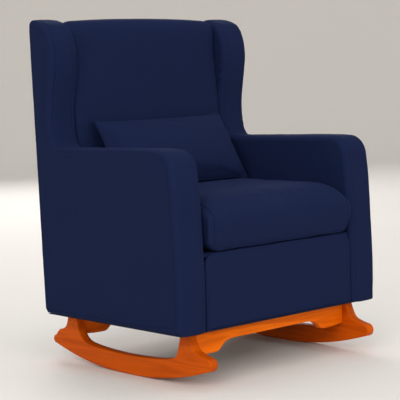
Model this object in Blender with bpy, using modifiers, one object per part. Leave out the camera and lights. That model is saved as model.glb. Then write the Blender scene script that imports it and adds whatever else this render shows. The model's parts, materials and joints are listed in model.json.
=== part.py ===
"""Wing-back nursery rocker: an upholstered armchair on two curved wooden runners.

Metres, +Z up. The origin is on the floor under the middle of the chair, +X is to the sitter's left
and the chair faces -Y. Every soft part is a plain closed solid of its true size.
"""
import math

import bmesh
import bpy
from mathutils import Matrix, Vector

# ---------------------------------------------------------------- driving dimensions
GAP = 0.0003                 # air between pieces that touch
WIDTH = 0.760                # over the outer faces of the arms
ARM_THICK = 0.098
BASE_TOP = 0.143             # top of the wooden base
COVER_THICK = 0.0015         # dust cover under the body
BODY_LOW = BASE_TOP + COVER_THICK + 2 * GAP
SEAT_SIDE = WIDTH / 2 - ARM_THICK

RUNNER_LENGTH = 0.676
RUNNER_RADIUS = 0.980        # curve that the chair rocks on
RUNNER_LOW_Y = -0.018        # where that curve touches the floor
REST_REAR_Y = 0.052          # rear end of the short flat that the empty chair stands on
FACET = 0.028                # length of each flat along the curve
BOARD = 0.028                # thickness of a runner board
RUNNER_OUT = 0.321           # outer face of a runner board
RUNNER_IN = RUNNER_OUT - BOARD
TOE_RADIUS = 0.018
TAIL_RADIUS = 0.0125

RAIL_THICK = 0.022           # rails that tie the runners together
RAILS = (("front", -0.233), ("rear", 0.245))
BRACKET_Z = 0.075            # lowest point of a rail, at its two feet
ARCH_Z = 0.104               # underside of a rail between its feet
CORNER_LEG = 0.075           # corner blocks
CORNER_THICK = 0.022

BOLT_RADIUS = 0.003
BOLT_HOLE = 0.0034
BOLT_HEAD = 0.0065
HEAD_THICK = 0.0045
HEAD_DEPTH = 0.007           # depth of the seat that hides a bolt head
BOLT_Z = 0.104
NUT_RADIUS = 0.0055
NUT_BLIND = 0.002            # wood left behind a nut
NUT_X = 0.262
FRAME_BOLT_X = 0.271
FRAME_BOLT_Y = {"front": -0.196, "rear": 0.208}
ARM_BOLTS = (("front", -0.130), ("rear", 0.120))
ARM_BOLT_Z = 0.190

TIMBER = 0.020               # thickness of the seat frame timbers
FRONT_TIMBER = 0.040         # taller and stouter than the others, as it carries the knees
PANEL_FRONT = -0.289         # face of the panel under the cushion
SEAT_FRONT = -0.2807         # front of the seat frame
SEAT_REAR = 0.240
SPRING_SEAT = 0.325          # top of the front and rear timbers
SPRINGS = 5
SPRING_PITCH = 0.108
SPRING_SWING = 0.024
SPRING_WIRE = 0.0019
SPRING_TURNS = 8
DECK_LOW = 0.338
DECK_THICK = 0.012

ARM_FRONT = -0.2925          # front of an arm at its foot
SIDE_REAR = 0.2957           # rear of an arm at its foot
SIDE_WALL = 0.015            # padding over the faces of the arm timbers
POST_LOW_Y = -0.2775         # front of the hollow for the timbers
TOP_LOW_Y = -0.2555          # front of its upper, narrower part
ARM_POST = 0.072
REAR_POST_Y = 0.247
REAR_POST = 0.0325
BACK_SLOPE = 0.0305          # how far the back leans for each metre of height
BACK_TOP = 0.945             # top of the back posts
POST_FRONT = 0.2425          # front of the back posts at their foot
BACK_POST = 0.022
STRAP = 0.002
STRAPS = 3

CUSHION_LOW = 0.3523
CUSHION_TOP = 0.494
CUSHION_FRONT = -0.312
CUSHION_REAR = 0.1945
PILLOW_WIDTH = 0.486
PILLOW_HEIGHT = 0.225
PILLOW_THICK = 0.094
PILLOW_LEAN = 32.0           # degrees back from upright
PILLOW_CENTRE = (0.0, 0.145, 0.595)

NAVY = (0.012, 0.019, 0.052)
LINER = (0.015, 0.015, 0.017)
HONEY = (0.610, 0.115, 0.006)
PINE = (0.620, 0.420, 0.220)
STEEL = (0.560, 0.570, 0.580)


# ---------------------------------------------------------------- helpers
def clear_scene():
    for old in list(bpy.data.objects):
        bpy.data.objects.remove(old, do_unlink=True)


def new_collection(name):
    group = bpy.data.collections.new(name)
    bpy.context.scene.collection.children.link(group)
    return group


def new_material(name, colour, roughness, metallic=0.0):
    mat = bpy.data.materials.new(name)
    mat.use_nodes = True
    shader = mat.node_tree.nodes["Principled BSDF"]
    shader.inputs["Base Color"].default_value = (*colour, 1.0)
    shader.inputs["Roughness"].default_value = roughness
    shader.inputs["Metallic"].default_value = metallic
    return mat


def add_object(name, data, mat=None, group=None):
    obj = bpy.data.objects.new(name, data)
    (group or PARTS).objects.link(obj)
    if mat:
        data.materials.append(mat)
    return obj


def add_bevel(obj, width, segments=1):
    bevel = obj.modifiers.new("Rounded edges", "BEVEL")
    bevel.width = width
    bevel.segments = segments
    bevel.limit_method = "ANGLE"
    bevel.angle_limit = math.radians(40)


def box(name, low, high, mat=None, edge=0.0, group=None):
    """Box between two corners, built round its own centre, with eased edges."""
    low, high = Vector(low), Vector(high)
    shape = bmesh.new()
    bmesh.ops.create_cube(shape, size=1.0, matrix=Matrix.Diagonal((*(high - low), 1.0)))
    mesh = bpy.data.meshes.new(name)
    shape.to_mesh(mesh)
    shape.free()
    obj = add_object(name, mesh, mat, group)
    obj.location = (low + high) / 2
    if edge:
        add_bevel(obj, edge)
    return obj


def drill(name, start, end, radius, sides=16):
    """Cylinder between two points, used as a cutter."""
    start, end = Vector(start), Vector(end)
    length = (end - start).length
    shape = bmesh.new()
    bmesh.ops.create_cone(
        shape, cap_ends=True, segments=sides, radius1=radius, radius2=radius, depth=length
    )
    mesh = bpy.data.meshes.new(name)
    shape.to_mesh(mesh)
    shape.free()
    return as_cutter(place_along(add_object(name, mesh, None, CUTTERS), (start + end) / 2, end - start))


def place_along(obj, point, direction):
    """Puts an object at a point with its own +Z along a direction."""
    obj.location = point
    obj.rotation_euler = Vector(direction).to_track_quat("Z", "Y").to_euler()
    return obj


def as_cutter(obj):
    obj.hide_render = True
    obj.display_type = "WIRE"
    return obj


def cut(obj, *cutters):
    for cutter in cutters:
        boolean = obj.modifiers.new("Cut " + cutter.name, "BOOLEAN")
        boolean.operation = "DIFFERENCE"
        boolean.solver = "EXACT"
        boolean.object = cutter


def turned(name, profile, point, direction, mat, steps=16):
    """Piece of revolution. The profile is (radius, height) pairs from the top down."""
    mesh = bpy.data.meshes.new(name)
    verts = [(radius, 0.0, height) for radius, height in profile]
    mesh.from_pydata(verts, [(i, i + 1) for i in range(len(verts) - 1)], [])
    obj = add_object(name, mesh, mat)
    screw = obj.modifiers.new("Turned", "SCREW")
    screw.steps = steps
    screw.render_steps = steps
    screw.use_merge_vertices = True
    screw.merge_threshold = 0.00001
    return place_along(obj, point, direction)


def bolt(name, point, direction, shank, mat):
    """Round-headed bolt. The point is under the head and the direction runs down the shank."""
    profile = [
        (0.0, shank),
        (BOLT_RADIUS - 0.001, shank),
        (BOLT_RADIUS, shank - 0.001),
        (BOLT_RADIUS, 0.0),
        (BOLT_HEAD, 0.0),
        (BOLT_HEAD, 0.001 - HEAD_THICK),
        (BOLT_HEAD - 0.001, -HEAD_THICK),
        (0.0022, -HEAD_THICK),
        (0.0022, 0.0015 - HEAD_THICK),
        (0.0, 0.0015 - HEAD_THICK),
    ]
    return turned(name, profile, point, direction, mat, steps=12)


def arc(centre, radius, start, end, steps):
    """Points of a circular arc, angles in degrees."""
    angles = [math.radians(start + (end - start) * i / steps) for i in range(steps + 1)]
    return [(centre[0] + radius * math.cos(a), centre[1] + radius * math.sin(a)) for a in angles]


def smooth(points, steps=4):
    """Catmull-Rom run through a few chosen points, ends included."""
    ends = [points[0], *points, points[-1]]
    run = []
    for i in range(1, len(ends) - 2):
        before, here, there, after = (Vector(p) for p in ends[i - 1:i + 3])
        for k in range(steps):
            t = k / steps
            run.append(tuple(
                0.5 * (2 * here + (there - before) * t
                       + (2 * before - 5 * here + 4 * there - after) * t * t
                       + (3 * here - before - 3 * there + after) * t ** 3)
            ))
    run.append(tuple(points[-1]))
    return run


def slab(name, outline, low, high, mat=None, across="X", edge=0.0, edge_steps=2, group=None):
    """Flat outline given thickness from low to high along one axis, its rim rounded inwards.

    Across X the outline is (y, z), across Y it is (x, z) and across Z it is (x, y).
    """
    curve = bpy.data.curves.new(name, "CURVE")
    curve.dimensions = "2D"
    curve.fill_mode = "BOTH"
    curve.extrude = (high - low) / 2 - edge
    curve.bevel_depth = edge
    curve.bevel_resolution = edge_steps
    curve.offset = -edge
    spline = curve.splines.new("POLY")
    spline.points.add(len(outline) - 1)
    for point, (u, v) in zip(spline.points, outline):
        point.co = (u, v, 0.0, 1.0)
    spline.use_cyclic_u = True
    flat = bpy.data.objects.new(name + " outline", curve)
    middle = (low + high) / 2
    if across == "X":
        flat.rotation_euler = (math.pi / 2, 0.0, math.pi / 2)
        flat.location = (middle, 0.0, 0.0)
    elif across == "Y":
        flat.rotation_euler = (math.pi / 2, 0.0, 0.0)
        flat.location = (0.0, middle, 0.0)
    else:
        flat.location = (0.0, 0.0, middle)
    CUTTERS.objects.link(flat)
    bpy.context.view_layer.update()
    mesh = bpy.data.meshes.new_from_object(flat.evaluated_get(bpy.context.evaluated_depsgraph_get()))
    shape = bmesh.new()
    shape.from_mesh(mesh)
    bmesh.ops.remove_doubles(shape, verts=shape.verts, dist=0.00001)
    bmesh.ops.recalc_face_normals(shape, faces=shape.faces)
    shape.to_mesh(mesh)
    shape.free()
    mesh.name = name
    obj = add_object(name, mesh, mat, group)
    obj.matrix_world = flat.matrix_world
    bpy.data.objects.remove(flat, do_unlink=True)
    return obj


def shade_round(obj, degrees=35):
    obj.data.shade_smooth()
    obj.data.set_sharp_from_angle(angle=math.radians(degrees))
    return obj


def lean(y, z):
    """Where a plane that stands at y at the foot of the body has leaned back to at height z."""
    return y + (z - BODY_LOW) * BACK_SLOPE


def sides():
    """Name and sign of the two sides of the chair."""
    return (("left", 1), ("right", -1))


def span(sign, near, far):
    """Low and high X of something that lies between two distances from the middle."""
    return (near, far) if sign > 0 else (-far, -near)


# ---------------------------------------------------------------- rocker base
def runner_height(y):
    """Height of the rocking curve over the floor."""
    return RUNNER_RADIUS - math.sqrt(RUNNER_RADIUS ** 2 - (y - RUNNER_LOW_Y) ** 2)


def curve_point(along):
    """Point of the rocking curve at a distance along it from its lowest point."""
    angle = along / RUNNER_RADIUS
    return (
        RUNNER_LOW_Y + RUNNER_RADIUS * math.sin(angle),
        RUNNER_RADIUS * (1 - math.cos(angle)),
    )


def runner_underside():
    """Toe, rocking curve in short flats, and tail.

    The flat from the curve's lowest point back to REST_REAR_Y is where the empty chair stands.
    The curve goes on from the point where a straight line from that flat's end touches it.
    """
    half = RUNNER_LENGTH / 2
    toe_y = -half + TOE_RADIUS
    tail_y = half - TAIL_RADIUS
    toe = arc((toe_y, runner_height(toe_y) + TOE_RADIUS), TOE_RADIUS, 90, 270, 8)
    tail = arc((tail_y, runner_height(tail_y) + TAIL_RADIUS), TAIL_RADIUS, -90, 90, 6)
    front_count = int((RUNNER_LOW_Y - toe_y) / FACET)
    rear_first = math.ceil(2 * (REST_REAR_Y - RUNNER_LOW_Y) / FACET)
    rear_last = int((tail_y - RUNNER_LOW_Y) / FACET)
    front = [curve_point(-FACET * i) for i in range(front_count, -1, -1)]
    rear = [curve_point(FACET * i) for i in range(rear_first, rear_last)]
    return toe + front + [(REST_REAR_Y, 0.0)] + rear + tail


def runner_outline():
    """Side view of a runner with its two posts, starting at the top of the toe."""
    rear_post_back = [
        (0.309, 0.0880),
        (0.290, 0.0935),
        (0.2765, 0.1020),
        (0.268, 0.1190),
        (0.2625, BASE_TOP),
    ]
    between_posts = [
        (0.226, BASE_TOP),
        (0.222, 0.1200),
        (0.214, 0.0930),
        (0.196, 0.0710),
        (0.160, 0.0610),
        (0.080, 0.0545),
        (0.000, 0.0530),
        (-0.080, 0.0555),
        (-0.150, 0.0615),
        (-0.203, 0.0730),
    ]
    front_post_back = [(-0.2075, 0.0920), (-0.219, 0.1210), (-0.225, BASE_TOP)]
    front_post_front = [
        (-0.254, BASE_TOP),
        (-0.262, 0.1200),
        (-0.2745, 0.0990),
        (-0.295, 0.0900),
    ]
    return (
        runner_underside()
        + smooth(rear_post_back)
        + smooth(between_posts, 3)
        + smooth(front_post_back)
        + smooth(front_post_front)
    )


def rail_outline():
    """Front view of a rail: level top and an arched underside between two feet."""
    end = RUNNER_IN - GAP
    foot = [
        (0.232, BRACKET_Z),
        (0.205, BRACKET_Z + 0.001),
        (0.192, BRACKET_Z + 0.010),
        (0.180, ARCH_Z - 0.009),
        (0.162, ARCH_Z - 0.0015),
        (0.140, ARCH_Z),
    ]
    half = [(end, BASE_TOP), (end, BRACKET_Z + 0.006)] + smooth(foot, 3)
    return half + [(-x, z) for x, z in reversed(half)]


def build_runners(wood, steel):
    outline = runner_outline()
    seat_x = RUNNER_OUT - HEAD_DEPTH
    for side, sign in sides():
        low, high = span(sign, RUNNER_IN, RUNNER_OUT)
        runner = slab("rocker_" + side, outline, low, high, wood, edge=0.0025, edge_steps=1)
        for end, y in RAILS:
            key = end + "_" + side
            inside = (sign * (RUNNER_IN - 0.01), y, BOLT_Z)
            outside = (sign * (RUNNER_OUT + 0.01), y, BOLT_Z)
            seat = (sign * seat_x, y, BOLT_Z)
            shank = drill("rocker hole " + key, inside, outside, BOLT_HOLE)
            head = drill("head seat " + key, seat, outside, BOLT_HEAD + GAP)
            cut(runner, shank, head)
            bolt("rocker_bolt_" + key, (sign * (seat_x + GAP), y, BOLT_Z), (-sign, 0, 0), 0.064, steel)
            build_barrel_nut("barrel_nut_" + key, sign, y, steel)


def build_barrel_nut(name, sign, y, steel):
    """Round cross nut inside a rail, which a runner bolt screws into."""
    inner = 1 if y < 0 else -1
    blind_end = y - inner * (RAIL_THICK / 2 - NUT_BLIND - GAP)
    open_end = y + inner * (RAIL_THICK / 2 - 0.001)
    low, high = min(blind_end, open_end), max(blind_end, open_end)
    length = high - low
    profile = [(0.0, length), (NUT_RADIUS, length), (NUT_RADIUS, 0.0), (0.0, 0.0)]
    nut = turned(name, profile, (sign * NUT_X, low, BOLT_Z), (0, 1, 0), steel)
    near = (sign * (NUT_X - 0.01), y, BOLT_Z)
    far = (sign * (NUT_X + 0.01), y, BOLT_Z)
    cut(nut, drill(name + " bore", near, far, BOLT_HOLE, sides=10))


def build_rails(wood):
    outline = rail_outline()
    for end, y in RAILS:
        inner = 1 if y < 0 else -1
        low, high = y - RAIL_THICK / 2, y + RAIL_THICK / 2
        rail = slab(end + "_rail", outline, low, high, wood, across="Y", edge=0.002, edge_steps=1)
        for side, sign in sides():
            key = end + "_" + side
            near = (sign * 0.244, y, BOLT_Z)
            far = (sign * RUNNER_OUT, y, BOLT_Z)
            blind = (sign * NUT_X, y - inner * (RAIL_THICK / 2 - NUT_BLIND), BOLT_Z)
            mouth = (sign * NUT_X, y + inner * RAIL_THICK, BOLT_Z)
            shank = drill("rail hole " + key, near, far, BOLT_HOLE)
            pocket = drill("nut pocket " + key, blind, mouth, NUT_RADIUS + GAP)
            cut(rail, shank, pocket)


def build_corner_blocks(wood):
    """Triangular blocks in the corners of the base, which the body is bolted down through."""
    corner_x = RUNNER_IN - GAP
    for end, y in RAILS:
        inner = 1 if y < 0 else -1
        corner_y = y + inner * (RAIL_THICK / 2 + GAP)
        for side, sign in sides():
            key = end + "_" + side
            outline = [
                (sign * corner_x, corner_y),
                (sign * (corner_x - CORNER_LEG), corner_y),
                (sign * corner_x, corner_y + inner * CORNER_LEG),
            ]
            low, high = BASE_TOP - CORNER_THICK, BASE_TOP
            block = slab("corner_block_" + key, outline, low, high, wood, across="Z")
            cut(block, frame_bolt_hole(key, sign, end, low - 0.01, high + 0.01))


def frame_bolt_place(sign, end, z):
    return (sign * FRAME_BOLT_X, FRAME_BOLT_Y[end], z)


def frame_bolt_hole(key, sign, end, low, high):
    """Cutter for the hole of one body bolt between two heights."""
    start = frame_bolt_place(sign, end, low)
    finish = frame_bolt_place(sign, end, high)
    return drill("body bolt hole " + key + " %.3f" % low, start, finish, BOLT_HOLE)


def build_frame_bolts(steel):
    for end in FRAME_BOLT_Y:
        for side, sign in sides():
            under = frame_bolt_place(sign, end, BASE_TOP - CORNER_THICK - GAP)
            bolt("body_bolt_" + end + "_" + side, under, (0, 0, 1), 0.058, steel)


# ---------------------------------------------------------------- seat frame
def build_dust_cover(liner):
    low = BASE_TOP + GAP
    cover = box("dust_cover", (-0.371, -0.285, low), (0.371, 0.289, low + COVER_THICK), liner)
    for end in FRAME_BOLT_Y:
        for side, sign in sides():
            cut(cover, frame_bolt_hole("cover " + end + side, sign, end, low - 0.01, low + 0.01))


def build_seat_frame(pine):
    side_x = SEAT_SIDE - 0.001
    front_rear = SEAT_FRONT + FRONT_TIMBER
    box(
        "seat_frame_front",
        (-side_x, SEAT_FRONT, BODY_LOW),
        (side_x, front_rear, SPRING_SEAT),
        pine,
        edge=0.002,
    )
    box(
        "seat_frame_rear",
        (-side_x, SEAT_REAR - TIMBER, BODY_LOW),
        (side_x, SEAT_REAR, SPRING_SEAT),
        pine,
        edge=0.002,
    )
    for side, sign in sides():
        low_x, high_x = span(sign, side_x - TIMBER, side_x)
        timber = box(
            "seat_frame_" + side,
            (low_x, front_rear + GAP, BODY_LOW),
            (high_x, SEAT_REAR - TIMBER - GAP, BODY_LOW + 0.100),
            pine,
            edge=0.002,
        )
        for end in FRAME_BOLT_Y:
            key = "timber " + end + side
            cut(timber, frame_bolt_hole(key, sign, end, BODY_LOW - 0.01, BODY_LOW + 0.045))
        for end, y in ARM_BOLTS:
            cut(timber, arm_bolt_hole("timber " + end, sign, y))


def arm_bolt_hole(key, sign, y):
    near = (sign * (SEAT_SIDE - TIMBER - 0.01), y, ARM_BOLT_Z)
    far = (sign * (SEAT_SIDE + 0.055), y, ARM_BOLT_Z)
    return drill("arm bolt hole " + key + " %d" % sign, near, far, BOLT_HOLE)


def build_arm_bolts(steel):
    """Bolts through the side timbers of the seat into the lower timbers of the arms."""
    for side, sign in sides():
        for end, y in ARM_BOLTS:
            under = (sign * (SEAT_SIDE - 0.001 - TIMBER - GAP), y, ARM_BOLT_Z)
            bolt("arm_bolt_" + end + "_" + side, under, (sign, 0, 0), 0.070, steel)


def build_springs(steel):
    """Sinuous seat springs hooked between two clip strips."""
    front_edge, rear_edge = SEAT_FRONT + FRONT_TIMBER + 0.003, SEAT_REAR - TIMBER - 0.003
    low, high = SPRING_SEAT + GAP, SPRING_SEAT + GAP + 0.003
    box("spring_strip_front", (-0.262, front_edge - 0.025, low), (0.262, front_edge, high), steel)
    box("spring_strip_rear", (-0.262, rear_edge, low), (0.262, rear_edge + 0.025, high), steel)
    start, finish = front_edge + 0.001, rear_edge - 0.001
    points = SPRING_TURNS * 6
    for number in range(SPRINGS):
        middle = (number - (SPRINGS - 1) / 2) * SPRING_PITCH
        curve = bpy.data.curves.new("seat_spring_%d" % (number + 1), "CURVE")
        curve.dimensions = "3D"
        curve.bevel_depth = SPRING_WIRE
        curve.bevel_resolution = 1
        curve.use_fill_caps = True
        wire = curve.splines.new("POLY")
        wire.points.add(points)
        for i, point in enumerate(wire.points):
            t = i / points
            turn = 2 * math.pi * SPRING_TURNS * t
            ease = min(1.0, 12 * t, 12 * (1 - t))
            x = middle + SPRING_SWING * ease * math.sin(turn)
            y = start + (finish - start) * t + 0.003 * ease * math.sin(2 * turn)
            z = (low + high) / 2 + 0.004 * math.sin(math.pi * t)
            point.co = (x, y, z, 1.0)
        add_object(curve.name, curve, steel)


def build_seat_covering(fabric):
    slab("front_panel", front_panel_outline(), PANEL_FRONT, SEAT_FRONT - GAP, fabric,
         across="Y", edge=0.002, edge_steps=1)
    box(
        "seat_deck",
        (-SEAT_SIDE + 0.001, SEAT_FRONT, DECK_LOW),
        (SEAT_SIDE - 0.001, 0.245, DECK_LOW + DECK_THICK),
        fabric,
        edge=0.002,
    )


def front_panel_outline():
    """Front view of the panel under the cushion, its two upper corners rounded."""
    half, top, corner = SEAT_SIDE - 0.0005, DECK_LOW + DECK_THICK + 0.0015, 0.035
    right = arc((half - corner, top - corner), corner, 0, 90, 6)
    return [(-half, BODY_LOW), (half, BODY_LOW)] + right + [(-x, z) for x, z in reversed(right)]


# ---------------------------------------------------------------- arms and wings
def side_outline():
    """Side view of an arm and its wing, from the foot of the arm's front."""
    corner = 0.058
    front = smooth([(ARM_FRONT, BODY_LOW), (-0.295, 0.270), (-0.289, 0.430), (-0.282, 0.520)])
    shoulder = arc((-0.2765 + corner, 0.565), corner, 178, 90, 6)
    arm_top = [(-0.180, 0.6245), (0.000, 0.6220), (0.150, 0.6195), (0.196, 0.6195)]
    wing = smooth([
        (0.214, 0.6240),
        (0.226, 0.6430),
        (0.233, 0.6850),
        (0.232, 0.7400),
        (0.218, 0.8200),
        (0.2125, 0.8650),
        (0.216, 0.9080),
        (0.228, 0.9430),
        (0.250, 0.9660),
        (0.300, 0.9810),
        (0.317, 0.9720),
        (lean(SIDE_REAR, 0.950), 0.9500),
    ], 3)
    return front + shoulder + arm_top + wing + [(SIDE_REAR, BODY_LOW)]


def build_side(sign, side, fabric, pine):
    """One arm and wing: the padded cover and the four timbers inside it."""
    low_x, high_x = span(sign, SEAT_SIDE, WIDTH / 2)
    cover = slab("arm_and_wing_" + side, side_outline(), low_x, high_x, fabric, edge=0.018)
    shade_round(cover)
    hollow = span(sign, SEAT_SIDE + SIDE_WALL, WIDTH / 2 - SIDE_WALL)
    spaces = [
        ("arm", (POST_LOW_Y, 0.0), (REAR_POST_Y, 0.552)),
        ("arm top", (TOP_LOW_Y, 0.545), (REAR_POST_Y, 0.6025)),
        ("wing", (REAR_POST_Y - 0.005, 0.0), (REAR_POST_Y + REAR_POST, 0.9455)),
    ]
    for name, (low_y, low_z), (high_y, high_z) in spaces:
        cut(cover, as_cutter(box(
            "hollow of " + name + " " + side,
            (hollow[0], low_y, low_z),
            (hollow[1], high_y, high_z),
            group=CUTTERS,
        )))
    inner = (hollow[0] + GAP, hollow[1] - GAP)
    front_post_rear = POST_LOW_Y + GAP + ARM_POST
    foot = BODY_LOW
    timbers = [
        ("front_post", (POST_LOW_Y + GAP, foot), (front_post_rear, 0.552 - GAP)),
        ("lower", (front_post_rear + GAP, foot), (REAR_POST_Y - GAP, foot + 0.075)),
        ("top", (TOP_LOW_Y + GAP, 0.552), (REAR_POST_Y - GAP, 0.6025 - GAP)),
        ("rear_post", (REAR_POST_Y, foot), (REAR_POST_Y + REAR_POST - GAP, 0.9455 - GAP)),
    ]
    for name, (low_y, low_z), (high_y, high_z) in timbers:
        timber = box(
            "arm_timber_" + name + "_" + side,
            (inner[0], low_y, low_z),
            (inner[1], high_y, high_z),
            pine,
            edge=0.002,
        )
        if name == "lower":
            for end, y in ARM_BOLTS:
                cut(timber, arm_bolt_hole("lower timber " + end, sign, y))
    for end, y in ARM_BOLTS:
        cut(cover, arm_bolt_hole("cover " + end, sign, y))


# ---------------------------------------------------------------- back
def inside_back_outline():
    """Side view of the padded back with its roll over the top rail."""
    front = smooth([
        (0.203, DECK_LOW + DECK_THICK + GAP),
        (0.208, 0.440),
        (0.219, 0.590),
        (0.2255, 0.690),
        (0.234, 0.790),
        (0.2395, 0.870),
        (0.2415, 0.920),
        (0.247, 0.950),
        (0.265, 0.9695),
        (0.292, 0.9750),
        (0.312, 0.9680),
        (lean(SIDE_REAR, 0.948), 0.9480),
    ], 3)
    plane = POST_FRONT - STRAP - 2 * GAP
    hook_z = BACK_TOP + GAP
    foot_z = DECK_LOW + DECK_THICK + GAP
    return front + [(lean(plane, hook_z), hook_z), (lean(plane, foot_z), foot_z)]


def outside_back_outline():
    """Side view of the thin outer panel: straight inside, gently bowed outside."""
    inner = SIDE_REAR + GAP
    outer = smooth([
        (0.3270, 0.9600),
        (0.3300, 0.8800),
        (0.3285, 0.7600),
        (0.3240, 0.6200),
        (0.3180, 0.4700),
        (0.3100, 0.2400),
        (0.3035, BODY_LOW),
    ], 3)
    return [(inner, BODY_LOW), (lean(inner, 0.960), 0.960)] + outer


def build_back(fabric, pine, liner):
    half = SEAT_SIDE - 0.0005
    shade_round(slab("inside_back", inside_back_outline(), -half, half, fabric, edge=0.004, edge_steps=1))
    slab("outside_back", outside_back_outline(), -0.374, 0.374, fabric, edge=0.002, edge_steps=1)
    frame = bpy.data.objects.new("back frame", None)
    frame.location = (0.0, POST_FRONT, BODY_LOW)
    frame.rotation_euler = (-math.atan(BACK_SLOPE), 0.0, 0.0)
    PARTS.objects.link(frame)
    post_in = half - 0.040
    height = (BACK_TOP - BODY_LOW) / math.cos(math.atan(BACK_SLOPE)) - 0.001
    pieces = []
    for side, sign in sides():
        low_x, high_x = span(sign, post_in, half)
        low, high = (low_x, 0.0, 0.0005), (high_x, BACK_POST, height)
        pieces.append(box("back_post_" + side, low, high, pine, edge=0.002))
    for name, low_z in (("top", height - 0.060), ("lower", 0.200)):
        low, high = (-post_in + GAP, 0.0, low_z), (post_in - GAP, BACK_POST, low_z + 0.060)
        pieces.append(box("back_rail_" + name, low, high, pine, edge=0.002))
    for number in range(STRAPS):
        low_z = 0.310 + number * 0.125
        low, high = (-0.272, -STRAP - GAP, low_z), (0.272, -GAP, low_z + 0.050)
        pieces.append(box("back_strap_%d" % (number + 1), low, high, liner))
    for piece in pieces:
        piece.parent = frame


# ---------------------------------------------------------------- loose cushions
def cushion_outline():
    """Side view of the seat cushion: crowned top and a full, rounded front."""
    rear_low = arc((CUSHION_REAR - 0.022, CUSHION_LOW + 0.022), 0.022, -90, 0, 4)
    rear_top = arc((CUSHION_REAR - 0.032, CUSHION_TOP - 0.042), 0.032, 0, 90, 5)
    top = [(0.050, CUSHION_TOP - 0.001), (-0.120, CUSHION_TOP)]
    front = smooth([
        (-0.225, CUSHION_TOP - 0.004),
        (-0.272, 0.4780),
        (-0.300, 0.4520),
        (CUSHION_FRONT, 0.4170),
        (-0.3095, 0.3880),
        (-0.299, 0.3640),
        (-0.278, CUSHION_LOW),
    ])
    return rear_low + rear_top + top + front


def build_cushion(fabric):
    half = SEAT_SIDE - 0.0025
    shade_round(slab("seat_cushion", cushion_outline(), -half, half, fabric, edge=0.018))


def build_pillow(fabric):
    """Knife-edged pillow: two crowned faces that meet in a seam all round.

    Height of a face is the half thickness times ((1 - u^4)(1 - v^4))^0.6, u and v from -1 to 1.
    """
    shape = bmesh.new()
    bmesh.ops.create_grid(shape, x_segments=14, y_segments=8, size=1.0)
    copy = bmesh.ops.duplicate(shape, geom=shape.verts[:] + shape.edges[:] + shape.faces[:])
    back_verts = {item for item in copy["geom"] if isinstance(item, bmesh.types.BMVert)}
    back_faces = [item for item in copy["geom"] if isinstance(item, bmesh.types.BMFace)]
    for vert in shape.verts:
        u, v = vert.co.x, vert.co.y
        crown = max(0.0, (1 - u ** 4) * (1 - v ** 4)) ** 0.6
        height = crown * PILLOW_THICK / 2
        vert.co.x = u * PILLOW_WIDTH / 2
        vert.co.y = v * PILLOW_HEIGHT / 2
        vert.co.z = -height if vert in back_verts else height
    bmesh.ops.reverse_faces(shape, faces=back_faces)
    bmesh.ops.remove_doubles(shape, verts=shape.verts, dist=0.00001)
    mesh = bpy.data.meshes.new("lumbar_pillow")
    shape.to_mesh(mesh)
    shape.free()
    pillow = shade_round(add_object("lumbar_pillow", mesh, fabric), 60)
    pillow.location = PILLOW_CENTRE
    pillow.rotation_euler = (math.radians(90 - PILLOW_LEAN), 0.0, 0.0)


# ---------------------------------------------------------------- build
clear_scene()
PARTS = new_collection("nursery_rocker")
CUTTERS = new_collection("cutters")


def build_chair():
    navy = new_material("navy fabric", NAVY, 0.85)
    liner = new_material("black liner cloth", LINER, 0.90)
    wood = new_material("honey wood", HONEY, 0.40)
    pine = new_material("frame timber", PINE, 0.70)
    steel = new_material("zinc steel", STEEL, 0.40, 1.0)
    build_runners(wood, steel)
    build_rails(wood)
    build_corner_blocks(wood)
    build_frame_bolts(steel)
    build_dust_cover(liner)
    build_seat_frame(pine)
    build_arm_bolts(steel)
    build_springs(steel)
    build_seat_covering(navy)
    for side, sign in sides():
        build_side(sign, side, navy, pine)
    build_back(navy, pine, liner)
    build_cushion(navy)
    build_pillow(navy)


build_chair()
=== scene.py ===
"""Wing-back nursery rocker: the upholstery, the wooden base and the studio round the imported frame.

Every length is in metres. +Z is up, the chair faces -Y and +X is to the sitter's left.
"""
import json
import math

import bmesh
import bpy
import numpy as np
from mathutils import Matrix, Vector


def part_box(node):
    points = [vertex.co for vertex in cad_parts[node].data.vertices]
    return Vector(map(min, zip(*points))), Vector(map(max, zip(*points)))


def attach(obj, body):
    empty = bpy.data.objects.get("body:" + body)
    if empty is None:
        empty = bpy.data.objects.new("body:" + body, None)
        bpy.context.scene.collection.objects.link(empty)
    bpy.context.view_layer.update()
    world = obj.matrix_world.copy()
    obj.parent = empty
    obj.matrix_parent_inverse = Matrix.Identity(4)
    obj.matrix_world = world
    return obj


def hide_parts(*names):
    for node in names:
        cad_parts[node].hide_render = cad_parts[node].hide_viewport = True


bl_info = {
    "name": "Nursery Rocker",
    "version": (1, 0, 0),
    "blender": (4, 5, 0),
    "location": "View3D > Sidebar > Rocker",
    "description": "Upholsters a wing-back nursery rocker round its packed frame",
    "category": "Add Mesh",
}

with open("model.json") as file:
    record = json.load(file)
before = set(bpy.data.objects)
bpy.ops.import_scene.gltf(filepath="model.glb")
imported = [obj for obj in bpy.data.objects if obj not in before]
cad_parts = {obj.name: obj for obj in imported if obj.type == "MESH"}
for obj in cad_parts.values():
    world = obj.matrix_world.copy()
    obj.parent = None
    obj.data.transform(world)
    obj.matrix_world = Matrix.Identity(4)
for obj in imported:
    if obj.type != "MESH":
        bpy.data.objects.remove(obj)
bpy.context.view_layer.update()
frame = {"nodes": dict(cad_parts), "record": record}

SIDES = (("left", 1), ("right", -1))
ENDS = ("front", "rear")
BODY = "chair_body"
ARM_LOW, ARM_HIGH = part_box("arm_and_wing_left")
DECK_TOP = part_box("seat_deck")[1][2]
BACK_SLOPE = 0.0305          # how far the back leans for each metre of height
RUNNER_RADIUS = 0.980        # curve that the chair rocks on
RUNNER_LOW_Y = -0.018        # where that curve touches the floor
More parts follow.
